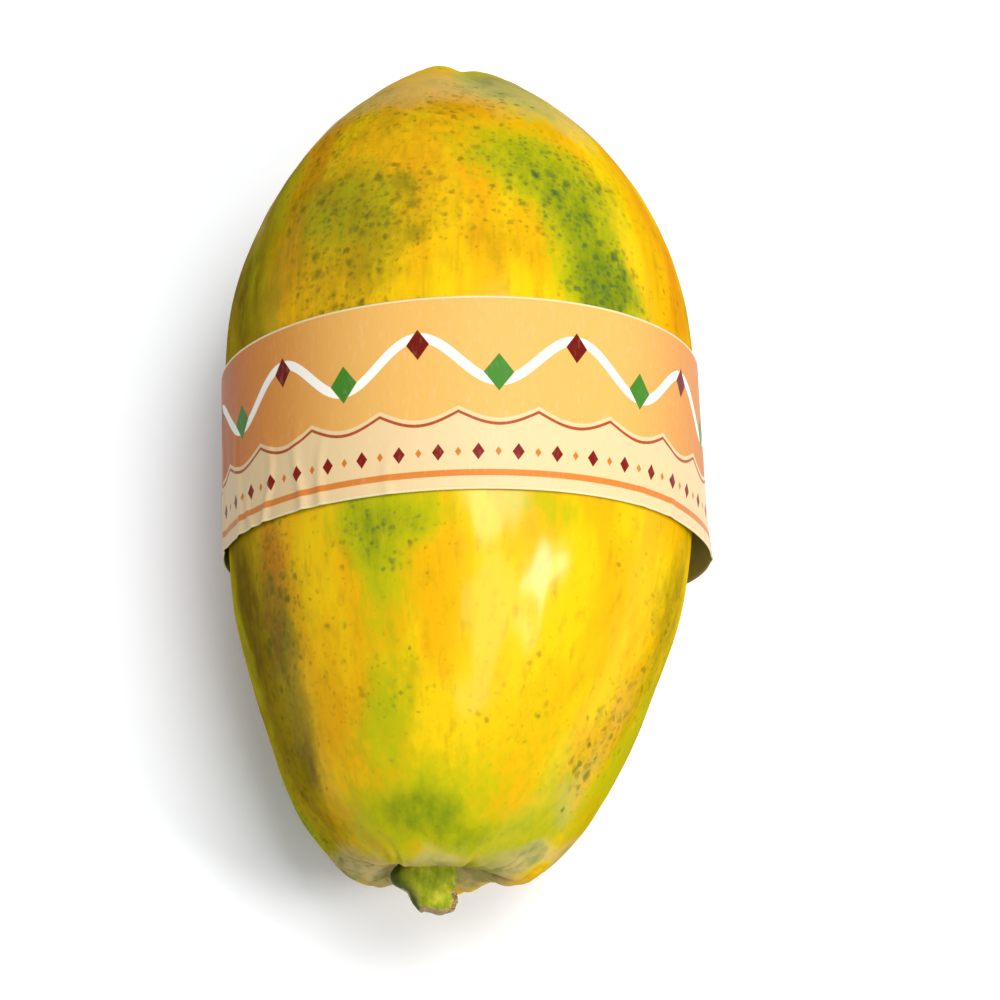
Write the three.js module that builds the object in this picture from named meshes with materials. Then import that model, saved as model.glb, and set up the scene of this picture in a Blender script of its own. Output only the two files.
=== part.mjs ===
// A whole ripe papaya lying on its side, with its cut stem stub and the printed paper band round its middle.
// Millimetres, +Z up. The stem end points to -Y and the blossom end to +Y. An angle round the fruit is
// measured from straight up (+Z) towards the right-hand side (+X).
import * as THREE from "three";

const { atan2, cos, exp, hypot, sin, sqrt, PI } = Math;
const { clamp, degToRad, euclideanModulo, lerp, smoothstep } = THREE.MathUtils;

// Facets
const SEGMENTS = 80; // round the fruit and the band, so that their facets line up
const FRUIT_RINGS = 42;
const BAND_RINGS = 6;
const STEM_SEGMENTS = 30;
const STEM_RINGS = 20;
const OUTLINE_SAMPLES = 600; // places along the outline at which its distance from the axis is known

// Fruit: half of its turned outline, as (distance from the axis, place along the axis)
const FRUIT_OUTLINE = [
  [0, -109.5],
  [9.5, -109.8],
  [15.4, -114],
  [24.6, -115],
  [33.4, -108],
  [43, -96],
  [51.4, -79],
  [58.9, -59],
  [65.1, -39],
  [67.8, -18],
  [69, 5],
  [70.1, 33],
  [68.3, 58],
  [60.6, 81],
  [48, 101],
  [33, 115.5],
  [19.4, 125.7],
  [9.8, 131.4],
  [3.7, 132.7],
  [0, 131],
];
const STEM_FLOOR = -109.8; // the flat that the stem stands on, at the bottom of the stem's hollow
const STEM_FLOOR_RADIUS = 9.5;
const HOLLOW_RADIUS = 28.5; // the flank starts outside the stem's hollow
const BOW = 3.8; // sideways bend of the axis, 100 mm from the middle
const BOW_TWIST = 2.1; // how much further the stem end bends than the blossom end
const CORE = 78; // half-length of the straight core that lobes swell away from
const GIRTH_PLACES = Array.from({ length: 40 }, (_, i) => 2 * i - 20); // where the fruit is roundest

// Lobes: the fused carpels show at both ends as low ridges, uneven in width, with creases between them.
// The last crease of each list is the first, once round.
const BLOSSOM_CREASES = [-78, 12, 84, 152, 216, 282].map(degToRad);
const STEM_CREASES = [-80, 62, 132, 204, 280].map(degToRad); // the crease on top has grown over
const CREASE_ROUNDNESS = 0.3;
const BLOSSOM_CRESTS = [1, 0.2, 1, 1, 1]; // each ridge's share of the full height
const STEM_CRESTS = [1, 1, 1, 1];
const BLOSSOM_LOBE = 1.7; // height of a ridge over the turned outline, and depth of a crease under it
const STEM_LOBE = 1.5;
const BLOSSOM_LOBES_RISE = [35, 105]; // the ridges rise between these distances from the middle
const STEM_LOBES_RISE = [50, 105];
const TIP_FADE = [1, 15]; // and end between these distances from the axis
const HOLLOW_FADE = [STEM_FLOOR_RADIUS, 24];
const SWELL_TWO = 0.6; // a slightly oval girth
const SWELL_TURN = 0.5;
const SWELL_THREE = 0.4; // and a slow wander of the ridges
const WANDER_LENGTH = 45;
const SHOULDER_TILT = 1.6; // round the stem the right-hand shoulder is fuller than the left
const SHOULDER_RISE = [92, 112];

// Band: a strip of constant width, glued into a loop that is snug on the widest girth
const PAPER = 0.6;
const CLEARANCE = 0.35; // air between the fruit and the paper
const BAND_WIDTH = 55;
const BAND_STEM_EDGE = -21.5; // place of the edge nearer the stem
const BAND_LEAN = 2; // the band sits nearer the stem on top than underneath
const BAND_SKEW = 1.5; // and nearer the stem on the left than on the right
const DROOP_START = degToRad(62); // where the loose paper leaves the fruit, on its way down
const DROOP_CENTRE = degToRad(122); // where it hangs furthest out
const DROOP_LEFT = 0.2; // the left side hangs out less than the right
const DROOP_SIDES = 0.5; // share of the girth over which one side's droop turns into the other's
const DROOP_UNDER = 0.3; // loose paper that is left under the fruit
const MOST_SLACK = 40;
const SLACK_HALVINGS = 24;
const [INSIDE, OUTSIDE] = [1, 2]; // the paper's two faces

// Rest: the fruit and the paper under it are pressed flat on the table
const PRESSED = 2; // depth that the flat spot takes off the roundest girth
const BEND = 0.8; // height over which a surface turns on to the flat

// Stem stub: outline as (distance from its axis, height above the hollow's floor)
const STEM_OUTLINE = [
  [0, 0],
  [7, 0],
  [7.6, 1.6],
  [7, 4.5],
  [6.1, 8],
  [5.7, 11],
  [5.1, 13],
  [3.8, 13.8],
  [0, 13.6],
];
const STEM_GAP = 0.35;
const STEM_OFFSET = -1.5; // the stub stands a little left of the axis
const STEM_LEAN = 0.14; // to the right, as a share of its height
const STEM_CUT_SLOPE = 0.35; // the knife went through aslant
const STEM_CUT_START = 0.5; // height from which the stub grows aslant
const STEM_PITH = [1, 5]; // ribs and knob start between these distances from the stub's axis
const KNOB = { angle: degToRad(-90), height: 5.6, reach: 5, spread: 3.6 }; // where a leaf scar bulges out
const STEM_RIBS = 5;
const STEM_RIB_DEPTH = 0.35;

// Finishes, as (colour, roughness)
const RIPE_SKIN = [0xe8b30e, 0.38];
const PRINTED_PAPER = [0xf4bf7a, 0.5];
const GREEN_STALK = [0x7f9c1c, 0.6];

const outline = new THREE.SplineCurve(FRUIT_OUTLINE.map(([radius, along]) => new THREE.Vector2(radius, along)));
const outlineSamples = outline.getSpacedPoints(OUTLINE_SAMPLES);

/** Distance of the turned outline from the axis, on the fruit's flank. */
function outlineRadius(along) {
  const next = outlineSamples.findIndex((p) => p.x > HOLLOW_RADIUS && p.y >= along);
  const [a, b] = [outlineSamples[next - 1], outlineSamples[next]];
  return lerp(a.x, b.x, (along - a.y) / (b.y - a.y));
}

/** 1 on a full lobe's crest, -1 in the crease between two lobes. */
function lobe(angle, creases, crests) {
  const turned = creases[0] + euclideanModulo(angle - creases[0], 2 * PI);
  const next = creases.findIndex((crease) => crease > turned);
  const wave = sin((PI * (turned - creases[next - 1])) / (creases[next] - creases[next - 1]));
  const crest = sqrt(1 + CREASE_ROUNDNESS ** 2) - CREASE_ROUNDNESS;
  const share = (sqrt(wave * wave + CREASE_ROUNDNESS ** 2) - CREASE_ROUNDNESS) / crest;
  return (1 + crests[next - 1]) * share - 1;
}

/** How far the skin stands out from the turned outline. */
function relief(angle, radius, along) {
  const swell = SWELL_TWO * sin(2 * angle + SWELL_TURN) + SWELL_THREE * sin(3 * angle + along / WANDER_LENGTH);
  if (along > 0) {
    const rise = BLOSSOM_LOBE * smoothstep(along, ...BLOSSOM_LOBES_RISE);
    return smoothstep(radius, ...TIP_FADE) * (rise * lobe(angle, BLOSSOM_CREASES, BLOSSOM_CRESTS) + swell);
  }
  const rise = STEM_LOBE * smoothstep(-along, ...STEM_LOBES_RISE);
  const tilt = SHOULDER_TILT * smoothstep(-along, ...SHOULDER_RISE) * sin(angle);
  return smoothstep(radius, ...HOLLOW_FADE) * (rise * lobe(angle, STEM_CREASES, STEM_CRESTS) + swell + tilt);
}

/** Sideways shift of the fruit's axis. */
function bow(along) {
  const share = along / 100;
  return -BOW * share ** 2 + BOW_TWIST * share ** 3;
}

/** Distance of the skin from the axis, where the fruit's flank is. */
function girth(angle, along) {
  const radius = outlineRadius(along);
  return radius + relief(angle, radius, along);
}

// The axis is as high as the lowest skin needs, less the depth of the flat spot.
const deepest = Math.max(...GIRTH_PLACES.map((along) => girth(PI, along)));
const AXIS_HEIGHT = deepest + CLEARANCE + PAPER - PRESSED;

/** Turns a height smoothly on to a flat at the given level, so that nothing is lower. */
function settle(height, level) {
  const above = height - level;
  if (above >= BEND) return height;
  return level + (above <= -BEND ? 0 : (above + BEND) ** 2 / (4 * BEND));
}

/** A point at an angle and a distance round the fruit's axis, settled on to a level. */
function placed(angle, distance, along, level) {
  const height = AXIS_HEIGHT + distance * cos(angle);
  return new THREE.Vector3(bow(along) + distance * sin(angle), along, settle(height, level));
}

/** Moves each vertex of a turned shape, given its angle, its distance from the axis and its place along it. */
function reshaped(turned, move) {
  const position = turned.getAttribute("position");
  for (let i = 0; i < position.count; i++) {
    const [x, y, z] = [position.getX(i), position.getY(i), position.getZ(i)];
    const { x: newX, y: newY, z: newZ } = move(atan2(x, z), hypot(x, z), y);
    position.setXYZ(i, newX, newY, newZ);
  }
  turned.computeVertexNormals();
  return turned;
}

/** The fruit: its outline turned round the axis, then swollen into lobes, bent and pressed flat below. */
function fruitGeometry() {
  const turned = new THREE.LatheGeometry(outline.getPoints(FRUIT_RINGS), SEGMENTS);
  return reshaped(turned, (angle, radius, along) => {
    const core = clamp(along, -CORE, CORE);
    const fromCore = hypot(radius, along - core) || 1;
    const out = relief(angle, radius, along);
    const distance = radius + (out * radius) / fromCore;
    return placed(angle, distance, along + (out * (along - core)) / fromCore, CLEARANCE + PAPER);
  });
}

/** Place of the band's edge nearer the stem. */
function bandEdge(angle) {
  return BAND_STEM_EDGE - BAND_LEAN * cos(angle) + BAND_SKEW * sin(angle);
}

/** 0 where the paper is snug on top, rising to 1 where it hangs loose at the side. */
function droop(angle) {
  const down = Math.abs(atan2(sin(angle), cos(angle)));
  const falling = smoothstep(down, DROOP_START, DROOP_CENTRE);
  const under = lerp(1, DROOP_UNDER, smoothstep(down, DROOP_CENTRE, PI));
  const side = lerp(DROOP_LEFT, 1, smoothstep(sin(angle), -DROOP_SIDES, DROOP_SIDES));
  return falling * under * side;
}

/** A point on the band: across is 0 at the edge nearer the stem and 1 at the other, depth 0 inside. */
function bandPoint(angle, across, depth, slack) {
  const along = bandEdge(angle) + BAND_WIDTH * across;
  const distance = girth(angle, along) + CLEARANCE + depth + slack * droop(angle);
  return placed(angle, distance, along, PAPER - depth);
}

/** Length of the paper round the fruit at one place across the band. */
function loopLength(across, slack) {
  const at = (i) => bandPoint((2 * PI * i) / SEGMENTS, across, 0, slack);
  return Array.from({ length: SEGMENTS }, (_, i) => at(i).distanceTo(at(i + 1))).reduce((a, b) => a + b);
}

/** How far the paper hangs out at one place across, so that the loop is as long there as everywhere. */
function slackFor(across, length) {
  let [low, high] = [0, MOST_SLACK];
  for (let i = 0; i < SLACK_HALVINGS; i++) {
    const middle = (low + high) / 2;
    if (loopLength(across, middle) < length) low = middle;
    else high = middle;
  }
  return low;
}

/** The band: a thin closed strip round the fruit, snug at its widest girth and loose towards the stem. */
function bandGeometry() {
  const rings = Array.from({ length: BAND_RINGS + 1 }, (_, i) => i / BAND_RINGS);
  const length = Math.max(...rings.map((across) => loopLength(across, 0)));
  const slacks = rings.map((across) => slackFor(across, length));
  const inner = rings.map((_, i) => new THREE.Vector2(INSIDE, i));
  const outer = rings.map((_, i) => new THREE.Vector2(OUTSIDE, i));
  const section = [...outer, ...inner.reverse(), outer[0]];
  return reshaped(new THREE.LatheGeometry(section, SEGMENTS), (angle, side, ring) => {
    const i = Math.round(ring);
    return bandPoint(angle, rings[i], Math.round(side) === OUTSIDE ? PAPER : 0, slacks[i]);
  });
}

/** The stem stub: a turned peg with low ribs, a knob on one side and an aslant cut. */
function stemGeometry() {
  const half = new THREE.SplineCurve(STEM_OUTLINE.map(([radius, height]) => new THREE.Vector2(radius, height)));
  const tall = STEM_OUTLINE.at(-1)[1];
  return reshaped(new THREE.LatheGeometry(half.getPoints(STEM_RINGS), STEM_SEGMENTS), (angle, radius, height) => {
    const share = smoothstep(height, STEM_CUT_START, tall);
    const rib = STEM_RIB_DEPTH * cos(STEM_RIBS * angle) * smoothstep(radius, ...STEM_PITH);
    const turn = atan2(sin(angle - KNOB.angle), cos(angle - KNOB.angle)) * radius;
    const knobHere = exp(-(turn ** 2 + (height - KNOB.height) ** 2) / KNOB.spread ** 2);
    const distance = radius + (rib + KNOB.reach * knobHere) * smoothstep(radius, ...STEM_PITH);
    const sloped = height - STEM_CUT_SLOPE * share * distance * sin(angle);
    return new THREE.Vector3(distance * sin(angle) + height * STEM_LEAN, sloped, distance * cos(angle));
  });
}

/** A named piece with a finish of its own. */
function piece(name, geometry, [color, roughness]) {
  const made = new THREE.Mesh(geometry, new THREE.MeshStandardMaterial({ color, roughness, metalness: 0 }));
  made.name = name;
  return made;
}

const fruit = piece("fruit", fruitGeometry(), RIPE_SKIN);
const band = piece("paper_band", bandGeometry(), PRINTED_PAPER);
const stem = piece("stem_stub", stemGeometry(), GREEN_STALK);
stem.position.set(bow(STEM_FLOOR) + STEM_OFFSET, STEM_FLOOR - STEM_GAP, AXIS_HEIGHT);
stem.rotation.x = PI;

const papaya = new THREE.Group();
papaya.add(fruit, band, stem);

// The frame's origin is on the table, under the middle of the whole thing.
papaya.updateMatrixWorld(true);
const box = new THREE.Box3().setFromObject(papaya, true);
const centre = box.getCenter(new THREE.Vector3());
papaya.position.set(-centre.x, -centre.y, -box.min.z);

export default papaya;
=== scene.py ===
import math
import random

import bmesh
import bpy
import numpy as np
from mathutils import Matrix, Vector, noise
from mathutils.bvhtree import BVHTree


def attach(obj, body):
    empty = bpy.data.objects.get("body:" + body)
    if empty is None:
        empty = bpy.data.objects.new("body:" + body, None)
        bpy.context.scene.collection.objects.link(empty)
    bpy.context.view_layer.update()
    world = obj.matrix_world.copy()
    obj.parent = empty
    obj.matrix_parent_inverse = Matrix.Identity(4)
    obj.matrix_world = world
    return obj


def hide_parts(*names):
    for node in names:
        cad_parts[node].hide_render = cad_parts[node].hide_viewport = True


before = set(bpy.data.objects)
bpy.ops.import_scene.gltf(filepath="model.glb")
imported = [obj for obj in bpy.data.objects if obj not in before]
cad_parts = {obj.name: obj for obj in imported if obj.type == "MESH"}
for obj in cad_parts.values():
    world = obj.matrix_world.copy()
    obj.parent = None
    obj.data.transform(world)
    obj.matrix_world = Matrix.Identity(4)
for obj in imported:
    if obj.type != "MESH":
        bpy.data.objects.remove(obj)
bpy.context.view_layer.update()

# CAMERA
# The camera stands above the stem end and looks down along the fruit, 72 degrees above the floor,
# from 0.8 m away through a 100 mm lens.
CAMERA_RISE = math.radians(72)
CAMERA_TURN = math.radians(0.23)
CAMERA_DISTANCE = 0.815
CAMERA_TARGET = Vector((0.01003, -0.00832, 0.070))
CAMERA_LENS = 100
CAMERA_SENSOR = 36

towards_camera = Vector((
    -math.sin(CAMERA_TURN) * math.cos(CAMERA_RISE),
    -math.cos(CAMERA_TURN) * math.cos(CAMERA_RISE),
    math.sin(CAMERA_RISE),
))
camera_data = bpy.data.cameras.new("camera")
camera_data.lens = CAMERA_LENS
camera_data.sensor_width = CAMERA_SENSOR
camera = bpy.data.objects.new("camera", camera_data)
camera.location = CAMERA_TARGET + CAMERA_DISTANCE * towards_camera
camera.rotation_euler = towards_camera.to_track_quat("Z", "Y").to_euler()
bpy.context.scene.collection.objects.link(camera)
bpy.context.scene.camera = camera
bpy.context.scene.view_settings.view_transform = "Standard"

# FRUIT
# A long papaya with five soft ridges, grown as one closed body of flesh and thin waxy skin. It
# ripens from green through lemon to orange in patches, and dark spots of dried latex stay on it.
MM = 0.001  # metres in a mm, because sizes are in mm; +Y runs towards the blossom end
AXIS_HEIGHT = 69.1
MIDDLE_ACROSS = -1.18
MIDDLE_ALONG = -3.88
BOW = 3.8  # sideways bend of the axis, 100 mm from the middle
BOW_TWIST = 2.1  # the stem end bends this much more, and the blossom end this much less
STEM_PLACE = (-10.0, 69.1)  # where the stalk grows from, across and up

# Relief of the skin: the height of each kind of lump, its size across, along and up, and a shift
# of its noise. They are broad swells, shallow dents and lengthwise ripples.
SKIN_RELIEF = [(0.30, (24, 34, 24), 3.1), (0.10, (9, 14, 9), 7.7), (0.16, (4.2, 30, 4.2), 11.3)]
SCAR_START = 110.0  # the scar is on the blossom end, past this place
SCAR_RADIUS = 3.4
SCAR_DEPTH = 0.7
SCAR_ROUGHNESS = 0.3
FLOOR_FADE = (1.0, 8.0)  # heights between which the relief starts, so that the fruit lies flat
PAPER_REACH = (-30.0, 36.0)  # under the paper the relief is pressed down
PAPER_FADE = 4.0
PAPER_PRESS = 0.6

# The folds of the stem's hollow fade in towards the stem end and away from the stalk, and fade
# out again further from it. One fold each: its angle round the stalk in degrees from the top, its
# depth and its half width.
HOLLOW_START = (98, 108)
HOLLOW_INSIDE = (6.5, 10)
HOLLOW_OUTSIDE = (20, 36)
HOLLOW_LUMPS = 0.55
FOLD_WANDER = 9.0
FOLD_LIP = 0.6  # height of the lips beside a fold, as a share of its depth
FOLD_LIP_PLACE = 2.2  # and their place, in half widths from its middle
STEM_FOLDS = [
    (-104, 0.6, 1.3), (-58, 0.6, 1.1), (-22, 0.5, 1.0), (31, 0.8, 1.0), (58, 1.2, 1.1),
    (84, 1.0, 1.2), (121, 0.7, 1.5), (158, 0.6, 1.4), (-164, 0.6, 1.5), (-133, 0.7, 1.4),
]


def smooth_copy(node, name, levels):
    """Copy a CAD node, merge its loose triangles into one closed skin and round off its facets."""
    bm = bmesh.new()
    bm.from_mesh(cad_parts[node].data)
    bmesh.ops.remove_doubles(bm, verts=bm.verts, dist=1e-6)
    bmesh.ops.join_triangles(
        bm, faces=bm.faces, angle_face_threshold=math.pi, angle_shape_threshold=math.pi
    )
    mesh = bpy.data.meshes.new(name)
    bm.to_mesh(mesh)
    facets = bpy.data.objects.new(name, mesh)
    bpy.context.scene.collection.objects.link(facets)
    rounding = facets.modifiers.new("rounding", "SUBSURF")
    rounding.levels = levels
    rounding.render_levels = levels
    bm.clear()
    bm.from_object(facets, bpy.context.evaluated_depsgraph_get())
    bpy.data.objects.remove(facets)
    bmesh.ops.recalc_face_normals(bm, faces=bm.faces)
    smooth = bpy.data.meshes.new(name)
    bm.to_mesh(smooth)
    bm.free()
    bpy.data.meshes.remove(mesh)
    smooth.name = name
    smooth.shade_smooth()
    return smooth


def places_of(mesh):
    """Give a mesh's points and their outward directions, the points in mm."""
    count = len(mesh.vertices)
    points = np.empty(count * 3, np.float32)
    outward = np.empty(count * 3, np.float32)
    mesh.vertices.foreach_get("co", points)
    mesh.vertex_normals.foreach_get("vector", outward)
    return points.reshape(-1, 3).astype(float) / MM, outward.reshape(-1, 3).astype(float)


def raise_skin(mesh, points, outward, relief):
    """Move a mesh's points outward by their relief in mm."""
    mesh.vertices.foreach_set("co", ((points + outward * relief[:, None]) * MM).ravel())
    mesh.update()


def lumps(points, size, seed):
    """Give smooth noise from -1 to 1 at each point, with lumps of the given size in mm."""
    scale = np.array([1 / s for s in size])
    return np.array([noise.noise(Vector(p) + Vector((seed, seed, seed))) for p in points * scale])


def fade(value, start, end):
    """Go smoothly from 0 at start to 1 at end."""
    t = np.clip((value - start) / (end - start), 0, 1)
    return t * t * (3 - 2 * t)


def bell(value, centre, half_width):
    """Give 1 at the centre, falling off smoothly to both sides."""
    return np.exp(-((value - centre) / half_width) ** 2)


def fruit_axis(along):
    """Give how far to the right the bowed fruit's middle lies at a place along it."""
    step = (along - MIDDLE_ALONG) / 100
    return -BOW * step ** 2 + BOW_TWIST * step ** 3 + MIDDLE_ACROSS


fruit_mesh = smooth_copy("fruit", "papaya_fruit", 2)
points, outward = places_of(fruit_mesh)
along = points[:, 1]
across = points[:, 0] - fruit_axis(along)
height = points[:, 2] - AXIS_HEIGHT
angle = np.degrees(np.arctan2(across, height))
radius = np.hypot(across, height)

relief = sum(rise * lumps(points, size, seed) for rise, size, seed in SKIN_RELIEF)

stem_across = points[:, 0] - STEM_PLACE[0]
stem_height = points[:, 2] - STEM_PLACE[1]
stem_angle = np.degrees(np.arctan2(stem_across, stem_height))
stem_radius = np.hypot(stem_across, stem_height)
near_stem = fade(-along, *HOLLOW_START) * fade(stem_radius, *HOLLOW_INSIDE)
near_stem *= 1 - fade(stem_radius, *HOLLOW_OUTSIDE)
relief += near_stem * HOLLOW_LUMPS * lumps(points, (5, 5, 5), 13.3)
wander = FOLD_WANDER * lumps(points, (9, 9, 9), 21.5)
for fold_angle, depth, half_width in STEM_FOLDS:
    apart = (stem_angle + wander - fold_angle + 180) % 360 - 180
    aside = np.abs(np.radians(apart) * stem_radius)
    relief -= near_stem * depth * bell(aside, 0, half_width)
    relief += near_stem * depth * FOLD_LIP * bell(aside, FOLD_LIP_PLACE * half_width, half_width)

near_scar = (along > SCAR_START) * (1 - fade(radius, SCAR_RADIUS * 0.6, SCAR_RADIUS))
relief -= near_scar * (SCAR_DEPTH + SCAR_ROUGHNESS * lumps(points, (1.4, 1.4, 1.4), 5.2))
under_paper = fade(along, PAPER_REACH[0] - PAPER_FADE, PAPER_REACH[0])
under_paper -= fade(along, PAPER_REACH[1], PAPER_REACH[1] + PAPER_FADE)
relief *= (1 - PAPER_PRESS * under_paper) * fade(points[:, 2], *FLOOR_FADE)
raise_skin(fruit_mesh, points, outward, relief)

# Patches of the skin: angle round the fruit in degrees from the top, place along it, half width
# and half length in mm, lean in degrees, and strength.
PATCHES = {
    # The long green strips at about 80 degrees on both sides are painted shade along the rims; the
    # other green patches are the skin's own colour.
    "green": [
        (13, 78, 13, 12, 0, 0.42), (24, 70, 10, 12, 20, 0.5), (30, 58, 9, 14, 0, 0.62),
        (33, 45, 9, 12, 15, 0.7), (35, 34, 13, 10, 10, 0.95), (40, 62, 8, 14, 0, 0.35),
        (22, 115, 8, 9, 0, 0.85), (31, 104, 9, 11, 0, 0.6), (-21, -33, 12, 10, 0, 0.65),
        (-19, -47, 8, 13, 0, 0.6), (-8, -32, 8, 7, 0, 0.45), (-18, -74, 7, 10, 0, 0.35),
        (-20, -89, 8, 9, 0, 0.45), (-7, -110, 14, 6, 0, 0.5), (10, -114, 12, 5, 0, 0.44),
        (38, -111, 12, 6, 0, 0.3), (60, -109, 10, 7, 0, 0.2), (80, -72, 8, 18, 0, 0.35),
        (80, -95, 7, 14, 0, 0.35), (32, -84, 9, 7, 0, 0.15), (16, -95, 12, 6, 0, 0.15),
        (19, -32, 10, 6, 0, 0.4), (-4, -109, 20, 7, 0, 0.62), (46, -96, 12, 8, 20, 0.2),
        (-54, 72, 6, 16, -10, 0.35), (-62, 48, 9, 18, -15, 0.2), (-84, -30, 8, 60, 0, 0.35),
        (20, -122, 16, 3, 0, 0.5), (48, -119, 8, 4, 0, 0.5), (-26, 57, 12, 13, -25, 0.32),
        (0, -99, 16, 6, 0, 0.25), (54, -105, 10, 9, 0, 0.3),
    ],
    # The strong olive patches on the left flank and the long olive strips along the right rim are
    # painted shade, darker skin where the sides turn from the lamps; the other olive patches are
    # the skin's own colour.
    "olive_and_shade": [
        (-26, 58, 8, 12, -32, 0.74), (-18, 43, 8, 8, -20, 0.3), (-25, 36, 9, 7, 0, 0.3),
        (-11.6, 62, 3.5, 3, 30, 0.7), (-10.6, 50, 4, 2.5, 0, 0.6), (-58, 76, 7, 18, -10, 0.7),
        (-63, 46, 12, 22, -15, 0.95), (-88, 40, 18, 44, 0, 0.8), (-21, -38, 9, 12, 0, 0.5),
        (-70, -42, 12, 22, 0, 0.9), (-70, -66, 11, 20, 0, 0.7), (-66, -94, 10, 14, 0, 0.6),
        (-95, -60, 18, 44, 0, 0.7), (-52, -90, 6, 9, 0, 0.85), (-20, -82, 8, 14, 0, 0.3),
        (-54, -64, 8, 16, 0, 0.9), (-38, 58, 16, 28, 0, 0.35), (-8, 84, 14, 12, 0, 0.15),
        (-30, -112, 10, 6, 0, 0.35), (6, 44, 20, 16, 0, 0.08), (-20, 98, 20, 9, 0, 0.2),
        (84, -80, 8, 30, 0, 0.4), (80, 30, 8, 30, 0, 0.3), (70, -48, 9, 26, 0, 0.45),
        (12, 43, 12, 10, 0, 0.22),
    ],
    "orange": [
        (-43, 84, 8, 14, 0, 0.85), (-44, 60, 7, 18, 0, 0.65), (-47, 42, 7, 12, 0, 0.5),
        (60, 72, 7, 12, 0, 0.75), (67, 52, 7, 15, 0, 0.85), (66, 36, 7, 8, 0, 0.75),
        (-20, 101, 15, 9, 0, 0.6), (2, 96, 12, 9, 0, 0.4), (0, 66, 16, 16, 0, 0.42),
        (5, 42, 16, 10, 0, 0.35), (-52, -38, 7, 14, 0, 1.0), (-57, -58, 6, 14, 0, 0.8),
        (-36, -84, 10, 16, 0, 0.4), (-38, -48, 9, 28, 0, 0.12), (-9, -62, 8, 26, 0, 0.16),
        (48, -55, 8, 22, 8, 0.12), (60, -60, 7, 26, 8, 0.18),
    ],
    "lemon": [
        (10, -60, 9, 30, 0, 0.9), (22, -78, 14, 20, 0, 0.7), (-28, -100, 14, 12, 0, 0.5),
        (26, -44, 8, 16, 0, 0.5), (55, -100, 12, 16, 0, 0.6), (-48, -60, 6, 30, 0, 0.25),
        (48, 84, 8, 20, 0, 0.5), (2, -90, 12, 12, 0, 0.6), (52, -50, 10, 24, 0, 0.4),
    ],
    "spots": [
        (-26, 55, 18, 18, -25, 0.95), (14, 76, 14, 12, 0, 0.6), (30, 58, 14, 20, 0, 0.7),
        (37, 37, 14, 11, 0, 0.95), (0, 58, 22, 14, 0, 0.45), (-12, 58, 8, 10, 0, 0.8),
        (-18, 92, 24, 14, 0, 0.5), (-42, 70, 12, 24, 0, 0.5), (40, 66, 10, 18, 0, 0.5),
        (62, 50, 10, 22, 0, 0.4), (-53, -54, 8, 22, 0, 1.0), (-18, -38, 18, 10, 0, 0.5),
        (-20, -78, 12, 16, 0, 0.35), (55, -90, 10, 9, 0, 0.55), (-62, -88, 14, 14, 0, 0.55),
        (70, -60, 12, 30, 0, 0.4), (24, -80, 22, 14, 0, 0.28), (-36, -64, 10, 20, 0, 0.3),
        (8, 100, 16, 10, 0, 0.4), (-30, 30, 20, 8, 0, 0.6), (50, -40, 12, 14, 0, 0.3),
        (-51, -37, 9, 14, 0, 0.8), (-60, -66, 10, 16, 0, 0.6), (62, -84, 12, 14, 0, 0.4),
    ],
    # The pale patches on the blossom end and low on the right side are painted haze of reflected
    # light; the others are rubbed and dried skin.
    "dull_and_haze": [
        (-78, -115, 14, 6, 0, 0.8), (-110, -116, 16, 6, 0, 0.8), (-40, -119, 10, 3, 0, 0.7),
        (62, -118, 12, 3.5, 0, 0.8), (100, -114, 16, 7, 0, 0.8), (140, -114, 18, 7, 0, 0.7),
        (180, -114, 18, 7, 0, 0.7), (-145, -114, 18, 7, 0, 0.7), (15, -119.5, 10, 2.2, 0, 0.6),
        (44, 98, 20, 12, 0, 0.62), (-34, 101, 22, 10, 0, 0.6), (10, 112, 26, 14, 0, 0.6),
        (-66, 76, 8, 22, 0, 0.45), (64, -80, 9, 18, 0, 0.4), (58, -102, 10, 10, 0, 0.35),
        (3, -121.5, 13, 1.6, 0, 0.6),
    ],
}

# The underside has patches of every ripe colour too, in places drawn by lot.
UNDERSIDE_PATCHES = 26
UNDERSIDE = (100, 260)  # angles round the fruit from the top
PATCH_FALL = 0.75  # a patch keeps its strength inside, and falls off round its half widths
PATCH_EDGE = 1.3
NARROWEST = 12.0  # near the tips a patch is laid out as on a fruit of this radius

chance = random.Random(4)
for _ in range(UNDERSIDE_PATCHES):
    centre = chance.uniform(*UNDERSIDE)
    place = chance.uniform(-105, 105)
    half_length = chance.uniform(10, 24)
    lean = chance.uniform(-20, 20)
    kind = chance.choice(("green", "olive_and_shade"))
    PATCHES[kind].append((centre, place, half_length * 0.5, half_length, lean, 0.6))
    PATCHES["spots"].append((centre + chance.uniform(-20, 20), place, 14, 18, 0, 0.5))
    centre = chance.uniform(*UNDERSIDE)
    place = chance.uniform(-100, 100)
    PATCHES["orange"].append((centre, place, 8, 20, 0, 0.6))

# Noise moves the patches a few mm round and along the fruit, so that none is a plain oval.
drift_round = 5 * lumps(points, (17, 22, 17), 31.7) + 2 * lumps(points, (6, 8, 6), 14.9)
drift_along = 7 * lumps(points, (17, 22, 17), 47.3) + 2 * lumps(points, (6, 8, 6), 18.4)


def cover_of(patches):
    """Give how strongly some patches cover each point of the fruit, from 0 to 1."""
    bare = np.ones(len(angle))
    for centre, place, half_width, half_length, lean, strength in patches:
        apart = (angle - centre + 180) % 360 - 180
        round_by = np.radians(apart) * np.maximum(radius, NARROWEST) + drift_round
        along_by = along - place + drift_along
        turn = math.radians(lean)
        aside = round_by * math.cos(turn) - along_by * math.sin(turn)
        forward = round_by * math.sin(turn) + along_by * math.cos(turn)
        reach = (aside / half_width) ** 2 + (forward / half_length) ** 2
        bare *= 1 - strength * np.exp(-PATCH_FALL * reach ** PATCH_EDGE)
    return 1 - bare


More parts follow.
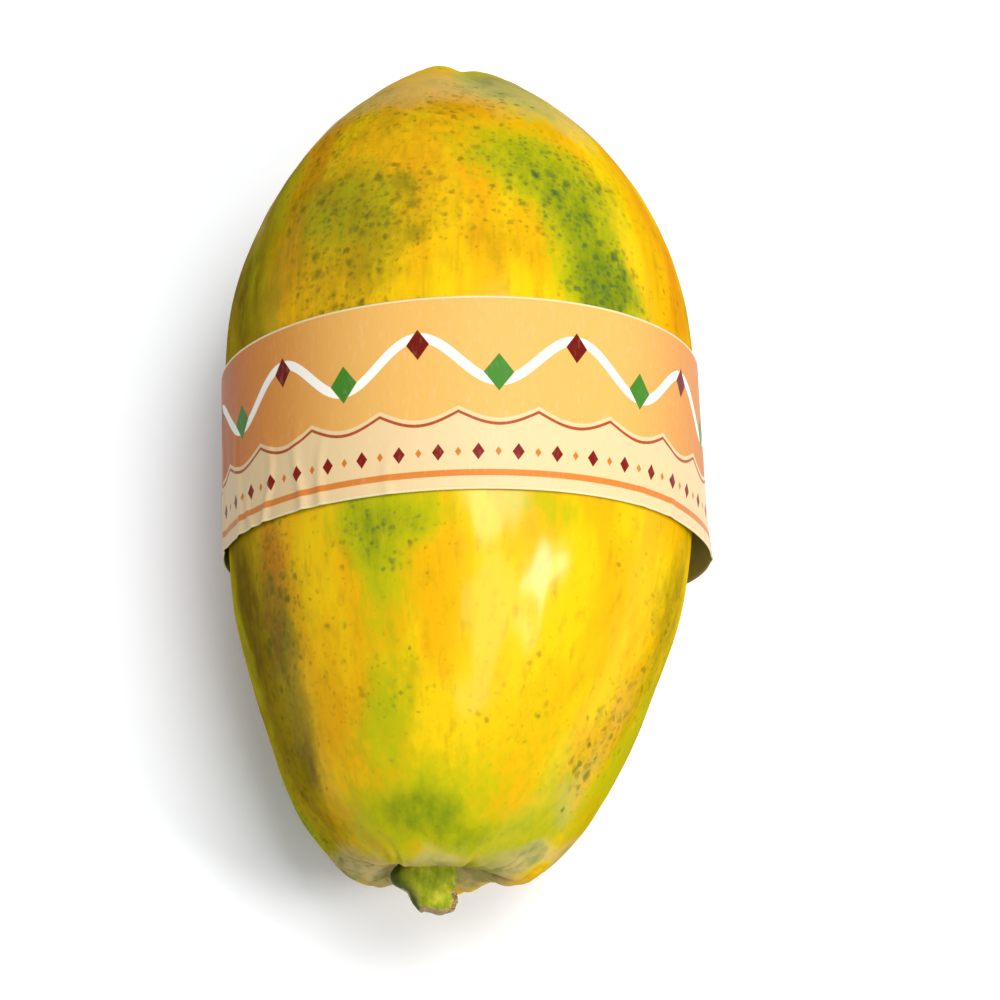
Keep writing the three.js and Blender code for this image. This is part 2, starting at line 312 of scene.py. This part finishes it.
def keep(mesh, name, values):
    """Store one number a point for the material to read."""
    mesh.attributes.new(name, "FLOAT", "POINT").data.foreach_set("value", values.astype(np.float32))


for name, patches in PATCHES.items():
    keep(fruit_mesh, name, cover_of(patches))
keep(fruit_mesh, "scar", near_scar)


def tint(code):
    """Turn a paint chart's hex code into the linear colour that a shader takes."""
    parts = [int(code[i:i + 2], 16) / 255 for i in (0, 2, 4)]
    linear = [c / 12.92 if c <= 0.04045 else ((c + 0.055) / 1.055) ** 2.4 for c in parts]
    return (*linear, 1.0)


class Mixer:
    """Mixes the patterns, masks and colours of one finish in its node tree."""

    def __init__(self, tree):
        self.tree = tree

    def node(self, kind, inputs=None, **settings):
        """Add a node with its settings, and with values or links on its inputs."""
        made = self.tree.nodes.new(kind)
        for name, value in settings.items():
            setattr(made, name, value)
        for key, value in (inputs or {}).items():
            self.fill(made.inputs[key], value)
        return made

    def fill(self, socket, value):
        """Link a pattern to a socket, or set a plain value on it."""
        if isinstance(value, bpy.types.NodeSocket):
            self.tree.links.new(value, socket)
        else:
            socket.default_value = value

    def place(self, size):
        """Give the place on the object, counted in lengths of the given size in mm."""
        spot = self.node("ShaderNodeTexCoord").outputs["Object"]
        scale = [1 / (MM * length) for length in size]
        return self.node("ShaderNodeMapping", {"Vector": spot, "Scale": scale}).outputs["Vector"]

    def clouds(self, vector, detail=3.0, rough=0.5, shift=0.0):
        """Give cloudy noise around 0.5."""
        inputs = {"Vector": vector, "Scale": 1.0, "Detail": detail, "Roughness": rough, "W": shift}
        return self.node("ShaderNodeTexNoise", inputs, noise_dimensions="4D").outputs["Fac"]

    def sum(self, operation, first, second=0.0, third=0.0):
        """Work out one sum, named as in a Math node, on patterns and numbers."""
        inputs = {0: first, 1: second, 2: third}
        return self.node("ShaderNodeMath", inputs, operation=operation).outputs["Value"]

    def add(self, first, second):
        """Add two patterns or numbers."""
        return self.sum("ADD", first, second)

    def less(self, first, second):
        """Take the second pattern or number from the first."""
        return self.sum("SUBTRACT", first, second)

    def times(self, first, second):
        """Multiply two patterns or numbers."""
        return self.sum("MULTIPLY", first, second)

    def scaled(self, pattern, factor, start):
        """Multiply a pattern by a factor and add it to a start, which may be a pattern too."""
        return self.sum("MULTIPLY_ADD", pattern, factor, start)

    def stir(self, mask, pattern, strength):
        """Add a pattern around 0.5 to a mask, which makes its edge ragged and keeps its mean."""
        return self.scaled(pattern, strength, self.add(mask, -strength / 2))

    def step(self, value, low, high):
        """Go smoothly from 0 at low to 1 at high."""
        inputs = {"Value": value, "From Min": low, "From Max": high}
        made = self.node("ShaderNodeMapRange", inputs, interpolation_type="SMOOTHSTEP")
        return made.outputs["Result"]

    def blend(self, mask, first, second):
        """Mix two colours, the second where the mask is 1."""
        made = self.node("ShaderNodeMix", data_type="RGBA")
        for key, value in (("Factor", mask), ("A", first), ("B", second)):
            self.fill([s for s in made.inputs if s.name == key and s.enabled][0], value)
        return [s for s in made.outputs if s.enabled][0]

    def kept(self, name):
        """Read one of the numbers that keep() stored on the mesh."""
        return self.node("ShaderNodeAttribute", attribute_name=name).outputs["Fac"]

    def bump(self, height, distance, strength):
        """Give the normal of a surface raised by a height pattern, its full height in mm."""
        inputs = {"Height": height, "Distance": distance * MM, "Strength": strength}
        return self.node("ShaderNodeBump", inputs).outputs["Normal"]


def finish(name):
    """Start a material and give it with its mixer and its surface shader."""
    material = bpy.data.materials.new(name)
    material.use_nodes = True
    return material, Mixer(material.node_tree), material.node_tree.nodes["Principled BSDF"]


def cover(mix, surface, links):
    """Link patterns to the surface shader's inputs."""
    for key, value in links.items():
        mix.tree.links.new(value, surface.inputs[key])


# Plant fibre shows in the skin's fine streaks, in the stalk and in the paper, so it is one group:
# thin threads whose width and length come with the place that goes in.
fibre_group = bpy.data.node_groups.new("plant_fibre", "ShaderNodeTree")
fibre_group.interface.new_socket("Place", in_out="INPUT", socket_type="NodeSocketVector")
fibre_group.interface.new_socket("Contrast", in_out="INPUT", socket_type="NodeSocketFloat")
fibre_group.interface.new_socket("Threads", in_out="OUTPUT", socket_type="NodeSocketFloat")
group_mix = Mixer(fibre_group)
group_in = group_mix.node("NodeGroupInput")
threads = group_mix.clouds(group_in.outputs["Place"], 4.0, 0.6, 2.5)
threads = group_mix.times(group_mix.less(threads, 0.5), group_in.outputs["Contrast"])
threads = group_mix.sum("MINIMUM", group_mix.sum("MAXIMUM", group_mix.add(threads, 0.5), 0.0), 1.0)
group_mix.node("NodeGroupOutput", {"Threads": threads})


def fibre(mix, size, contrast):
    """Lay plant fibre of a given width, length and depth in mm on a finish."""
    inputs = {"Place": mix.place(size), "Contrast": contrast}
    return mix.node("ShaderNodeGroup", inputs, node_tree=fibre_group).outputs["Threads"]


def dots(mix, size, density, fullest, shift):
    """Give dots of dried latex: how dark each place is, and a chance number for each dot."""
    spot = mix.place((size, size, size))
    wobble = mix.node("ShaderNodeTexNoise", {"Vector": spot, "Scale": 1.4, "Detail": 2.0})
    jitter = mix.node(
        "ShaderNodeVectorMath",
        {0: wobble.outputs["Color"], 1: (0.8, 0.8, 0.8), 2: (shift, shift, shift)},
        operation="MULTIPLY_ADD",
    ).outputs["Vector"]
    moved = mix.node("ShaderNodeVectorMath", {0: spot, 1: jitter}, operation="ADD")
    cells = mix.node("ShaderNodeTexVoronoi", {"Vector": moved.outputs["Vector"], "Scale": 1.0})
    chances = mix.node("ShaderNodeSeparateColor", {"Color": cells.outputs["Color"]})
    room = mix.node("ShaderNodeMapRange", {
        "Value": mix.less(density, chances.outputs["Red"]),
        "From Min": 0.0, "From Max": 0.45, "To Min": 0.0, "To Max": fullest,
    }).outputs["Result"]
    inside = mix.less(room, cells.outputs["Distance"])
    return mix.step(inside, -0.20, 0.26), chances.outputs["Green"]


skin, mix, surface = finish("papaya_skin")
broad = mix.clouds(mix.place((17, 70, 17)), 3.0, 0.5)
middling = mix.clouds(mix.place((8, 13, 8)), 4.0, 0.6, 3.0)
fine = mix.clouds(mix.place((2.2, 3.2, 2.2)), 3.0, 0.6, 6.0)
strokes = mix.clouds(mix.place((3.0, 20, 3.0)), 4.0, 0.6, 12.0)
streaks = fibre(mix, (2.4, 34, 2.4), 1.8)

# The ripe ground colour goes from gold to lemon, with orange and brownish strokes over it.
lemon = mix.scaled(mix.stir(mix.kept("lemon"), streaks, 0.5), 0.8, mix.step(broad, 0.40, 0.64))
orange = mix.stir(mix.stir(mix.kept("orange"), middling, -0.5), streaks, 0.3)
colour = mix.blend(mix.step(lemon, 0.0, 1.0), tint("d49e00"), tint("d6b203"))
colour = mix.blend(mix.step(orange, 0.0, 1.0), colour, tint("c98202"))
colour = mix.blend(mix.times(mix.step(strokes, 0.50, 0.72), 0.5), colour, tint("a68204"))

# Half-ripe patches lie over it, olive ones first, each in a light wash and darker ones inside; the
# dark olive-brown on the flanks and the green rim strips are painted shade.
olive_and_shade = mix.stir(mix.stir(mix.stir(mix.kept("olive_and_shade"), middling, -0.6), fine, 0.45), streaks, 0.3)
green = mix.stir(mix.stir(mix.stir(mix.kept("green"), middling, 0.55), fine, 0.3), streaks, 0.3)
for patch, outside, inside, code in (
    (olive_and_shade, 0.0, 0.60, "997d04"), (olive_and_shade, 0.45, 1.05, "6a5406"),
    (green, 0.0, 0.55, "a8a302"), (green, 0.40, 1.0, "758204"), (green, 0.85, 1.3, "566a0c"),
):
    colour = mix.blend(mix.step(patch, outside, inside), colour, tint(code))

# Dull beige and grey-green skin covers both ends, where the wax is rubbed or dried; the pale beige
# on the blossom end and low on the right is also painted haze of reflected light.
dull_and_haze = mix.stir(mix.stir(mix.kept("dull_and_haze"), middling, 0.6), fine, 0.2)
grey = mix.times(mix.step(middling, 0.40, 0.62), mix.step(dull_and_haze, 0.4, 0.9))
dull_and_haze_colour = mix.blend(grey, tint("bda670"), tint("87874c"))
colour = mix.blend(mix.times(mix.step(dull_and_haze, 0.2, 0.95), 0.85), colour, dull_and_haze_colour)

# Latex dots of three sizes, brown on ripe skin and blue-green on green skin, in a faint halo.
on_green = mix.step(green, 0.15, 0.6)
dot_colour = mix.blend(on_green, tint("5c5408"), tint("2c4a26"))
halo_colour = mix.blend(on_green, tint("908006"), tint("66740a"))
halo_colour = mix.blend(mix.step(orange, 0.3, 0.9), halo_colour, tint("8f6004"))
density = mix.add(mix.stir(mix.kept("spots"), middling, 0.7), 0.10)
halo = mix.times(mix.step(mix.stir(density, fine, 0.8), 0.4, 1.2), 0.5)
colour = mix.blend(halo, colour, halo_colour)
tiny_dots, chances = dots(mix, 1.5, density, 0.46, 80.0)
colour = mix.blend(mix.times(tiny_dots, mix.scaled(chances, 0.45, 0.05)), colour, dot_colour)
small_dots, chances = dots(mix, 2.3, density, 0.44, 0.0)
colour = mix.blend(mix.times(small_dots, mix.scaled(chances, 0.60, 0.10)), colour, dot_colour)
large_dots, chances = dots(mix, 4.4, mix.times(density, 0.75), 0.36, 40.0)
colour = mix.blend(mix.times(large_dots, mix.scaled(chances, 0.60, 0.25)), colour, dot_colour)
scar_colour = mix.blend(fine, tint("4a3a20"), tint("7d6238"))
colour = mix.blend(mix.kept("scar"), colour, scar_colour)

# The wax shines where the skin is seen square on, and less at the rim and on the dull ends.
shine = mix.scaled(middling, 0.22, 0.26)
shine = mix.scaled(mix.step(dull_and_haze, 0.2, 0.8), 0.2, shine)
pores = mix.clouds(mix.place((0.8, 0.8, 0.8)), 2.0, 0.5, 9.0)
rise = mix.scaled(pores, 0.06, mix.times(streaks, 0.35))
rise = mix.scaled(small_dots, -0.05, rise)
facing = mix.node("ShaderNodeLayerWeight", {"Blend": 0.5}).outputs["Facing"]
wax = mix.scaled(mix.step(facing, 0.22, 0.62), -0.33, 0.35)
normal = mix.bump(rise, 0.4, 0.6)
cover(mix, surface, {
    "Base Color": colour, "Roughness": shine, "Coat Weight": wax, "Normal": normal,
})
surface.inputs["Specular IOR Level"].default_value = 0.0
surface.inputs["Coat Roughness"].default_value = 0.17

fruit = bpy.data.objects.new("papaya_fruit", fruit_mesh)
bpy.context.scene.collection.objects.link(fruit)
fruit_mesh.materials.append(skin)
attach(fruit, "root")
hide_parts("fruit")

# STEM STUB
# The end of the fruit's own stalk, cut off aslant a finger's width from the fruit. It is green and
# fibrous, with the knob of a side branch at its left and a torn scrap of bark at the cut.
KNOB_ANGLES = (-35, -80, -120, -160)  # it grows out and back in again between these
KNOB_FORM = [(0.9, -118.5, 2.6), (-1.0, -124.0, 1.8)]  # its swell and the pinch behind it
CUT_FACING = (0.62, 0.80)  # how squarely a place faces the stem end where the cut face starts
CUT_START = (117.0, 119.5)  # each start and end is in mm towards the stem
TORN_START = (121, 123)
TORN_END = (126, 128)
TORN_ANGLE = 68.0
TORN_HALF_ANGLE = 22.0
TORN_RISE = 0.9
BARK_RELIEF = [(0.22, (1.6, 7, 1.6), 4.4), (0.22, (2.6, 1.5, 2.6), 9.4)]
CUT_RELIEF = (0.30, (0.9, 2.5, 0.9), 2.4)
CUT_SLANT = 2.4  # how much further the stub reaches on the right of the cut than on the left
SLANT_START = (118, 126)
SLANT_ACROSS = (-12.0, -6.0)

stem_mesh = smooth_copy("stem_stub", "papaya_stem", 3)
points, outward = places_of(stem_mesh)
from_fruit = -points[:, 1]
around = np.degrees(np.arctan2(points[:, 0] - STEM_PLACE[0], points[:, 2] - STEM_PLACE[1]))
on_cut = fade(-outward[:, 1], *CUT_FACING) * fade(from_fruit, *CUT_START)
on_knob = fade(around, KNOB_ANGLES[0], KNOB_ANGLES[1])
on_knob *= 1 - fade(around, KNOB_ANGLES[2], KNOB_ANGLES[3])
on_scrap = bell(around, TORN_ANGLE, TORN_HALF_ANGLE) * fade(from_fruit, *TORN_START)
on_scrap *= 1 - fade(from_fruit, *TORN_END)

relief = sum(rise * lumps(points, size, seed) for rise, size, seed in BARK_RELIEF) * (1 - on_cut)
for rise, place, half_length in KNOB_FORM:
    relief += on_knob * rise * bell(points[:, 1], place, half_length)
relief += on_scrap * TORN_RISE * (1 + lumps(points, (0.8, 0.8, 0.8), 6.6))
cut_rise, cut_size, cut_seed = CUT_RELIEF
relief += cut_rise * lumps(points, cut_size, cut_seed) * on_cut
points[:, 1] -= CUT_SLANT * fade(from_fruit, *SLANT_START) * fade(points[:, 0], *SLANT_ACROSS)
raise_skin(stem_mesh, points, outward, relief)
keep(stem_mesh, "cut", on_cut)
keep(stem_mesh, "knob", on_knob)
keep(stem_mesh, "torn", on_scrap)

stalk, mix, surface = finish("green_stalk")
middling = mix.clouds(mix.place((4, 5, 4)), 3.0, 0.55)
fine = mix.clouds(mix.place((0.9, 1.2, 0.9)), 3.0, 0.6, 3.0)
threads = fibre(mix, (0.7, 9, 0.7), 2.2)
pith = fibre(mix, (0.5, 0.5, 0.5), 2.4)
colour = mix.blend(mix.step(middling, 0.38, 0.62), tint("808c14"), tint("aeab2c"))
colour = mix.blend(mix.times(mix.step(threads, 0.5, 0.9), 0.25), colour, tint("61720f"))
colour = mix.blend(mix.times(mix.kept("knob"), 0.95), colour, tint("3a4a08"))
colour = mix.blend(mix.times(mix.step(fine, 0.58, 0.66), 0.3), colour, tint("545216"))
cut_face = mix.step(mix.stir(mix.kept("cut"), fine, 0.6), 0.35, 0.6)
colour = mix.blend(cut_face, colour, mix.blend(pith, tint("b8a175"), tint("8f784e")))
scrap = mix.step(mix.stir(mix.kept("torn"), fine, 1.2), 0.5, 0.75)
scrap_colour = mix.blend(mix.step(fine, 0.4, 0.6), tint("5d4428"), tint("a98d64"))
colour = mix.blend(scrap, colour, scrap_colour)
shine = mix.scaled(cut_face, 0.3, mix.scaled(fine, 0.2, 0.34))
rise = mix.scaled(threads, 0.4, mix.times(mix.times(pith, cut_face), 0.6))
normal = mix.bump(rise, 0.3, 0.7)
cover(mix, surface, {"Base Color": colour, "Roughness": shine, "Normal": normal})
surface.inputs["Specular IOR Level"].default_value = 0.05

stem = bpy.data.objects.new("papaya_stem", stem_mesh)
bpy.context.scene.collection.objects.link(stem)
stem_mesh.materials.append(stalk)
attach(stem, "root")
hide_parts("stem_stub")

# PAPER BAND
# A strip of coated paper, printed in flat colours on its outside and glued into a loop round the
# fruit's middle. It lies snug on top, stands off the lower sides and puckers where it is slack.
BAND_WIDTH = 55.0
BAND_EDGE = -25.38  # place of the edge nearer the stem
BAND_LEAN = 2.0  # the band sits nearer the stem on top than underneath
BAND_SKEW = 1.5  # and nearer the stem on the left than on the right
BAND_COLUMNS = 80
BAND_ROWS = 6
COLUMN_LENGTH = 5.5
OVERLAP_COLUMNS = 2
SEAM_COLUMN = 52
PAPER_THICKNESS = 0.28
LAP_RISE = 0.12
EDGE_MARGIN = 0.25
OUTSIDE_REACH = 120.0  # from here a line towards the axis meets the outside of the band's form
GIRTH_RADIUS = 69.0
PAPER_WAVES = 0.10
WAVES_FADE = (2, 14)  # heights between which the waves start
BELLY_FADE = (1.5, 10)  # below these the fruit presses the paper flat
PUCKER_WANDER = 4

# One pucker each: its place round the band in degrees, its half width and height in mm, and how
# far from the stem-side edge it reaches, as a share of the band's width.
PUCKERS = [
    (-33, 1.6, 0.5, 0.5), (-41, 1.8, 0.7, 0.6), (-52, 1.6, 0.8, 0.7), (-58, 1.3, 0.6, 0.4),
    (-66, 1.8, 0.7, 0.9), (-79, 2.0, 0.6, 1.0), (-16, 1.8, 0.35, 0.35), (47, 2.0, 0.4, 0.4),
    (58, 1.8, 0.5, 0.5), (100, 2.2, 0.5, 0.7), (150, 2.0, 0.3, 0.5), (-110, 2.0, 0.5, 0.8),
]


def band_edge(round_by):
    """Give where the band's stem-side edge crosses the fruit at an angle from the top."""
    return BAND_EDGE - BAND_LEAN * math.cos(round_by) + BAND_SKEW * math.sin(round_by)


band_source = bmesh.new()
band_source.from_mesh(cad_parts["paper_band"].data)
band_form = BVHTree.FromBMesh(band_source)
band_source.free()

# A flat strip is laid column by column on the outside of the band's form.
columns = BAND_COLUMNS + OVERLAP_COLUMNS
bm = bmesh.new()
bmesh.ops.create_grid(bm, x_segments=columns, y_segments=BAND_ROWS, size=0.5)
print_place = bm.loops.layers.uv.new("print")
lane = {}
for vert in bm.verts:
    lane[vert] = (round((vert.co.x + 0.5) * columns), round((vert.co.y + 0.5) * BAND_ROWS))
for face in bm.faces:
    for loop in face.loops:
        column, row = lane[loop.vert]
        loop[print_place].uv = (column * COLUMN_LENGTH, row * BAND_WIDTH / BAND_ROWS)
for vert, (column, row) in lane.items():
    round_by = (SEAM_COLUMN + column) * 2 * math.pi / BAND_COLUMNS
    reach = EDGE_MARGIN + (BAND_WIDTH - 2 * EDGE_MARGIN) * row / BAND_ROWS
    place = band_edge(round_by) + reach
    direction = Vector((math.sin(round_by), 0, math.cos(round_by)))
    middle = Vector((fruit_axis(place), place, AXIS_HEIGHT))
    hit = band_form.ray_cast((middle + direction * OUTSIDE_REACH) * MM, -direction)[0]
    lift = LAP_RISE if column > BAND_COLUMNS - 1 else 0.0
    vert.co = hit + direction * lift * MM
bmesh.ops.recalc_face_normals(bm, faces=bm.faces)
strip_mesh = bpy.data.meshes.new("paper_strip")
bm.to_mesh(strip_mesh)
bm.free()
strip = bpy.data.objects.new("paper_strip", strip_mesh)
bpy.context.scene.collection.objects.link(strip)
curve = strip.modifiers.new("curve", "SUBSURF")
curve.levels = 3
curve.render_levels = 3
curved_strip = strip.evaluated_get(bpy.context.evaluated_depsgraph_get())
paper_mesh = bpy.data.meshes.new_from_object(curved_strip)
paper_mesh.name = "papaya_band"
bpy.data.objects.remove(strip)

points, outward = places_of(paper_mesh)
across = points[:, 0] - fruit_axis(points[:, 1])
height = points[:, 2] - AXIS_HEIGHT
around = np.degrees(np.arctan2(across, height))
edge = np.array([band_edge(math.radians(a)) for a in around])
share = (points[:, 1] - edge) / BAND_WIDTH
outward = outward * np.sign(outward[:, 0] * across + outward[:, 2] * height)[:, None]
relief = np.zeros(len(points))
for place, half_width, rise, reach in PUCKERS:
    wander = PUCKER_WANDER * lumps(points, (40, 18, 40), place)
    apart = (around + wander - place + 180) % 360 - 180
    grown = 1 - fade(share, 0.0, reach)
    relief += rise * grown * bell(np.radians(apart) * GIRTH_RADIUS, 0, half_width)
waves = lumps(points, (30, 40, 30), 8.8) + 1
relief += PAPER_WAVES * waves * fade(points[:, 2], *WAVES_FADE)
relief *= fade(points[:, 2], *BELLY_FADE)
raise_skin(paper_mesh, points, outward, relief)
paper_mesh.shade_smooth()

band = bpy.data.objects.new("papaya_band", paper_mesh)
bpy.context.scene.collection.objects.link(band)

# The print, in mm along the strip and across it: a peach field over a cream border with a
# scalloped edge, a white ribbon that winds through the field, lozenges and thin rules.
SHADED_SIDE = 56.0  # the place along the strip where the peach is deepest, at the fruit's left
FIELD_EDGE = 23.5
SCALLOP = 3.6
MOTIF = 44.0
RIBBON_HEIGHT = 37.0
RIBBON_SWING = 6.5
RIBBON_STEEPNESS = 0.86  # square of the ribbon's steepest slope
RIBBON = 1.3  # half widths of the ribbon and of the two rules
EDGE_RULE = 0.45
LOW_RULE = 0.9
EDGE_RULE_DROP = 1.6  # how far below the field's edge its rule runs
LOW_RULE_HEIGHT = 4.6
TRIM = (26.8, 27.05)  # how far from the strip's middle the print ends

# One row of lozenges each: their spacing, the first one's place, the row's height, their half
# width and half height, and their colour.
LOZENGE_ROWS = [
    (MOTIF, 11.0, 33.0, 4.2, 5.4, "3d7420"), (MOTIF, -11.0, 41.5, 3.2, 4.4, "651508"),
    (11.0, 0.0, 10.5, 1.7, 2.4, "74180c"), (11.0, 5.5, 10.5, 0.9, 1.3, "bd6d24"),
]

printed, mix, surface = finish("printed_paper")
print_uv = mix.node("ShaderNodeUVMap", uv_map="print").outputs["UV"]
split = mix.node("ShaderNodeSeparateXYZ", {"Vector": print_uv})
u = split.outputs["X"]
v = split.outputs["Y"]


def line(distance, half_width, soft=0.12):
    """Mark where a distance is smaller than half the width of a printed line."""
    return mix.step(mix.less(half_width, distance), -soft, soft)


def distance_to(height):
    """Give how far each place of the print is from a height, which may be a pattern."""
    return mix.sum("ABSOLUTE", mix.less(v, height))


def lozenges(period, start, height, half_width, half_height):
    """Mark a row of lozenges along the band, one every period."""
    lane_u = mix.less(mix.sum("FLOORED_MODULO", mix.less(u, start), period), period / 2)
    aside = mix.times(mix.sum("ABSOLUTE", lane_u), 1 / half_width)
    above = mix.times(distance_to(height), 1 / half_height)
    return line(mix.add(aside, above), 1.0, 0.05)


def wave(kind, period):
    """Give a wave along the band."""
    return mix.sum(kind, mix.times(u, 2 * math.pi / period))


# The peach deepens from the top and the underside of the fruit towards its two sides: the deep
# orange and brown-orange there are painted shade over the printed peach.
quarter = BAND_COLUMNS * COLUMN_LENGTH / 4
to_side = mix.sum("FLOORED_MODULO", mix.less(u, SHADED_SIDE), 2 * quarter)
to_side = mix.sum("ABSOLUTE", mix.less(to_side, quarter))
shaded_field = mix.blend(mix.step(to_side, 30.0, 92.0), tint("d2a154"), tint("c4742a"))
shaded_field = mix.blend(mix.step(to_side, 76.0, 112.0), shaded_field, tint("ab5818"))

field_edge = mix.scaled(mix.sum("ABSOLUTE", wave("SINE", MOTIF)), -SCALLOP, FIELD_EDGE)
above_edge = mix.less(v, field_edge)
colour = mix.blend(mix.step(above_edge, -0.12, 0.12), tint("d3b788"), shaded_field)
edge_rule = line(mix.sum("ABSOLUTE", mix.add(above_edge, EDGE_RULE_DROP)), EDGE_RULE)
colour = mix.blend(edge_rule, colour, tint("9c4622"))

ribbon = mix.scaled(wave("SINE", MOTIF), RIBBON_SWING, RIBBON_HEIGHT)
slope = wave("COSINE", MOTIF)
steepness = mix.sum("SQRT", mix.scaled(mix.times(slope, slope), RIBBON_STEEPNESS, 1.0))
from_ribbon = mix.sum("DIVIDE", distance_to(ribbon), steepness)
colour = mix.blend(line(from_ribbon, RIBBON), colour, tint("e6e0d4"))
for period, start, row_height, half_width, half_height, code in LOZENGE_ROWS:
    row = lozenges(period, start, row_height, half_width, half_height)
    colour = mix.blend(row, colour, tint(code))
low_rule = line(distance_to(LOW_RULE_HEIGHT), LOW_RULE)
colour = mix.blend(low_rule, colour, tint("c4742f"))
trim = mix.step(distance_to(BAND_WIDTH / 2), *TRIM)
colour = mix.blend(trim, colour, tint("dfcfa0"))
weave = fibre(mix, (0.9, 3.0, 0.9), 1.6)
colour = mix.blend(mix.times(mix.step(weave, 0.5, 0.9), 0.05), colour, tint("ffffff"))
shine = mix.scaled(mix.clouds(mix.place((14, 14, 14)), 3.0, 0.5), 0.14, 0.32)
normal = mix.bump(weave, 0.05, 0.5)
cover(mix, surface, {"Base Color": colour, "Roughness": shine, "Normal": normal})
surface.inputs["Specular IOR Level"].default_value = 0.06


def plain_paper(name, dark, light, roughness):
    """Make a finish of unprinted paper in which the fibres show."""
    paper, mix, surface = finish(name)
    weave = fibre(mix, (0.8, 2.0, 0.8), 2.0)
    colour = mix.blend(weave, tint(dark), tint(light))
    cover(mix, surface, {"Base Color": colour, "Normal": mix.bump(weave, 0.05, 0.6)})
    surface.inputs["Roughness"].default_value = roughness
    return paper


# The strip gets its thickness, a pale cut edge and a dark olive inside: painted shade of the loop's
# inside over the paper's back.
paper_mesh.materials.append(printed)
paper_mesh.materials.append(plain_paper("bare_paper", "cfc296", "dccfa6", 0.6))
paper_mesh.materials.append(plain_paper("shaded_paper_back", "797c46", "8c9058", 0.7))
wall = band.modifiers.new("paper", "SOLIDIFY")
wall.thickness = PAPER_THICKNESS * MM
wall.offset = -1
wall.use_even_offset = True
wall.material_offset = 2
wall.material_offset_rim = 1
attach(band, "root")
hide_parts("paper_band")

# FLOOR AND LIGHT
# A plain white table top in a pale room. A large soft lamp overhead lights the fruit and throws
# its shadow to the left, and two smaller ones in front on the right leave their glints on the wax.
FLOOR_HALF_SIZE = 2.0
LIT_PLACE = Vector((0.0, -0.02, 0.12))
LAMP_DISTANCE = 1.3
ROOM_COLOUR = (0.88, 0.95, 1.06, 1.0)
ROOM_STRENGTH = 0.43

bm = bmesh.new()
bmesh.ops.create_grid(bm, x_segments=1, y_segments=1, size=FLOOR_HALF_SIZE)
floor_mesh = bpy.data.meshes.new("floor")
bm.to_mesh(floor_mesh)
bm.free()
floor = bpy.data.objects.new("floor", floor_mesh)
bpy.context.scene.collection.objects.link(floor)
table_top, mix, surface = finish("white_table")
grain = mix.clouds(mix.place((60, 60, 60)), 3.0, 0.5)
cover(mix, surface, {"Base Color": mix.blend(grain, tint("f4f4f4"), tint("fafafa"))})
surface.inputs["Roughness"].default_value = 0.8
floor_mesh.materials.append(table_top)


def soft_lamp(name, direction, size, watts):
    """Hang a square soft lamp that points at the fruit."""
    data = bpy.data.lights.new(name, "AREA")
    data.shape = "SQUARE"
    data.size = size
    data.energy = watts
    lamp = bpy.data.objects.new(name, data)
    lamp.location = LIT_PLACE + Vector(direction).normalized() * LAMP_DISTANCE
    lamp.rotation_euler = Vector(direction).to_track_quat("Z", "Y").to_euler()
    bpy.context.scene.collection.objects.link(lamp)


soft_lamp("side_lamp", (0.626, -0.248, 0.742), 0.30, 8.0)
soft_lamp("top_lamp", (0.22, 0.12, 0.95), 0.6, 14.8)
soft_lamp("front_lamp", (0.27, -0.37, 0.89), 0.42, 2.6)

room = bpy.data.worlds.new("room")
bpy.context.scene.world = room
room.use_nodes = True
background = room.node_tree.nodes["Background"]
background.inputs["Color"].default_value = ROOM_COLOUR
background.inputs["Strength"].default_value = ROOM_STRENGTH
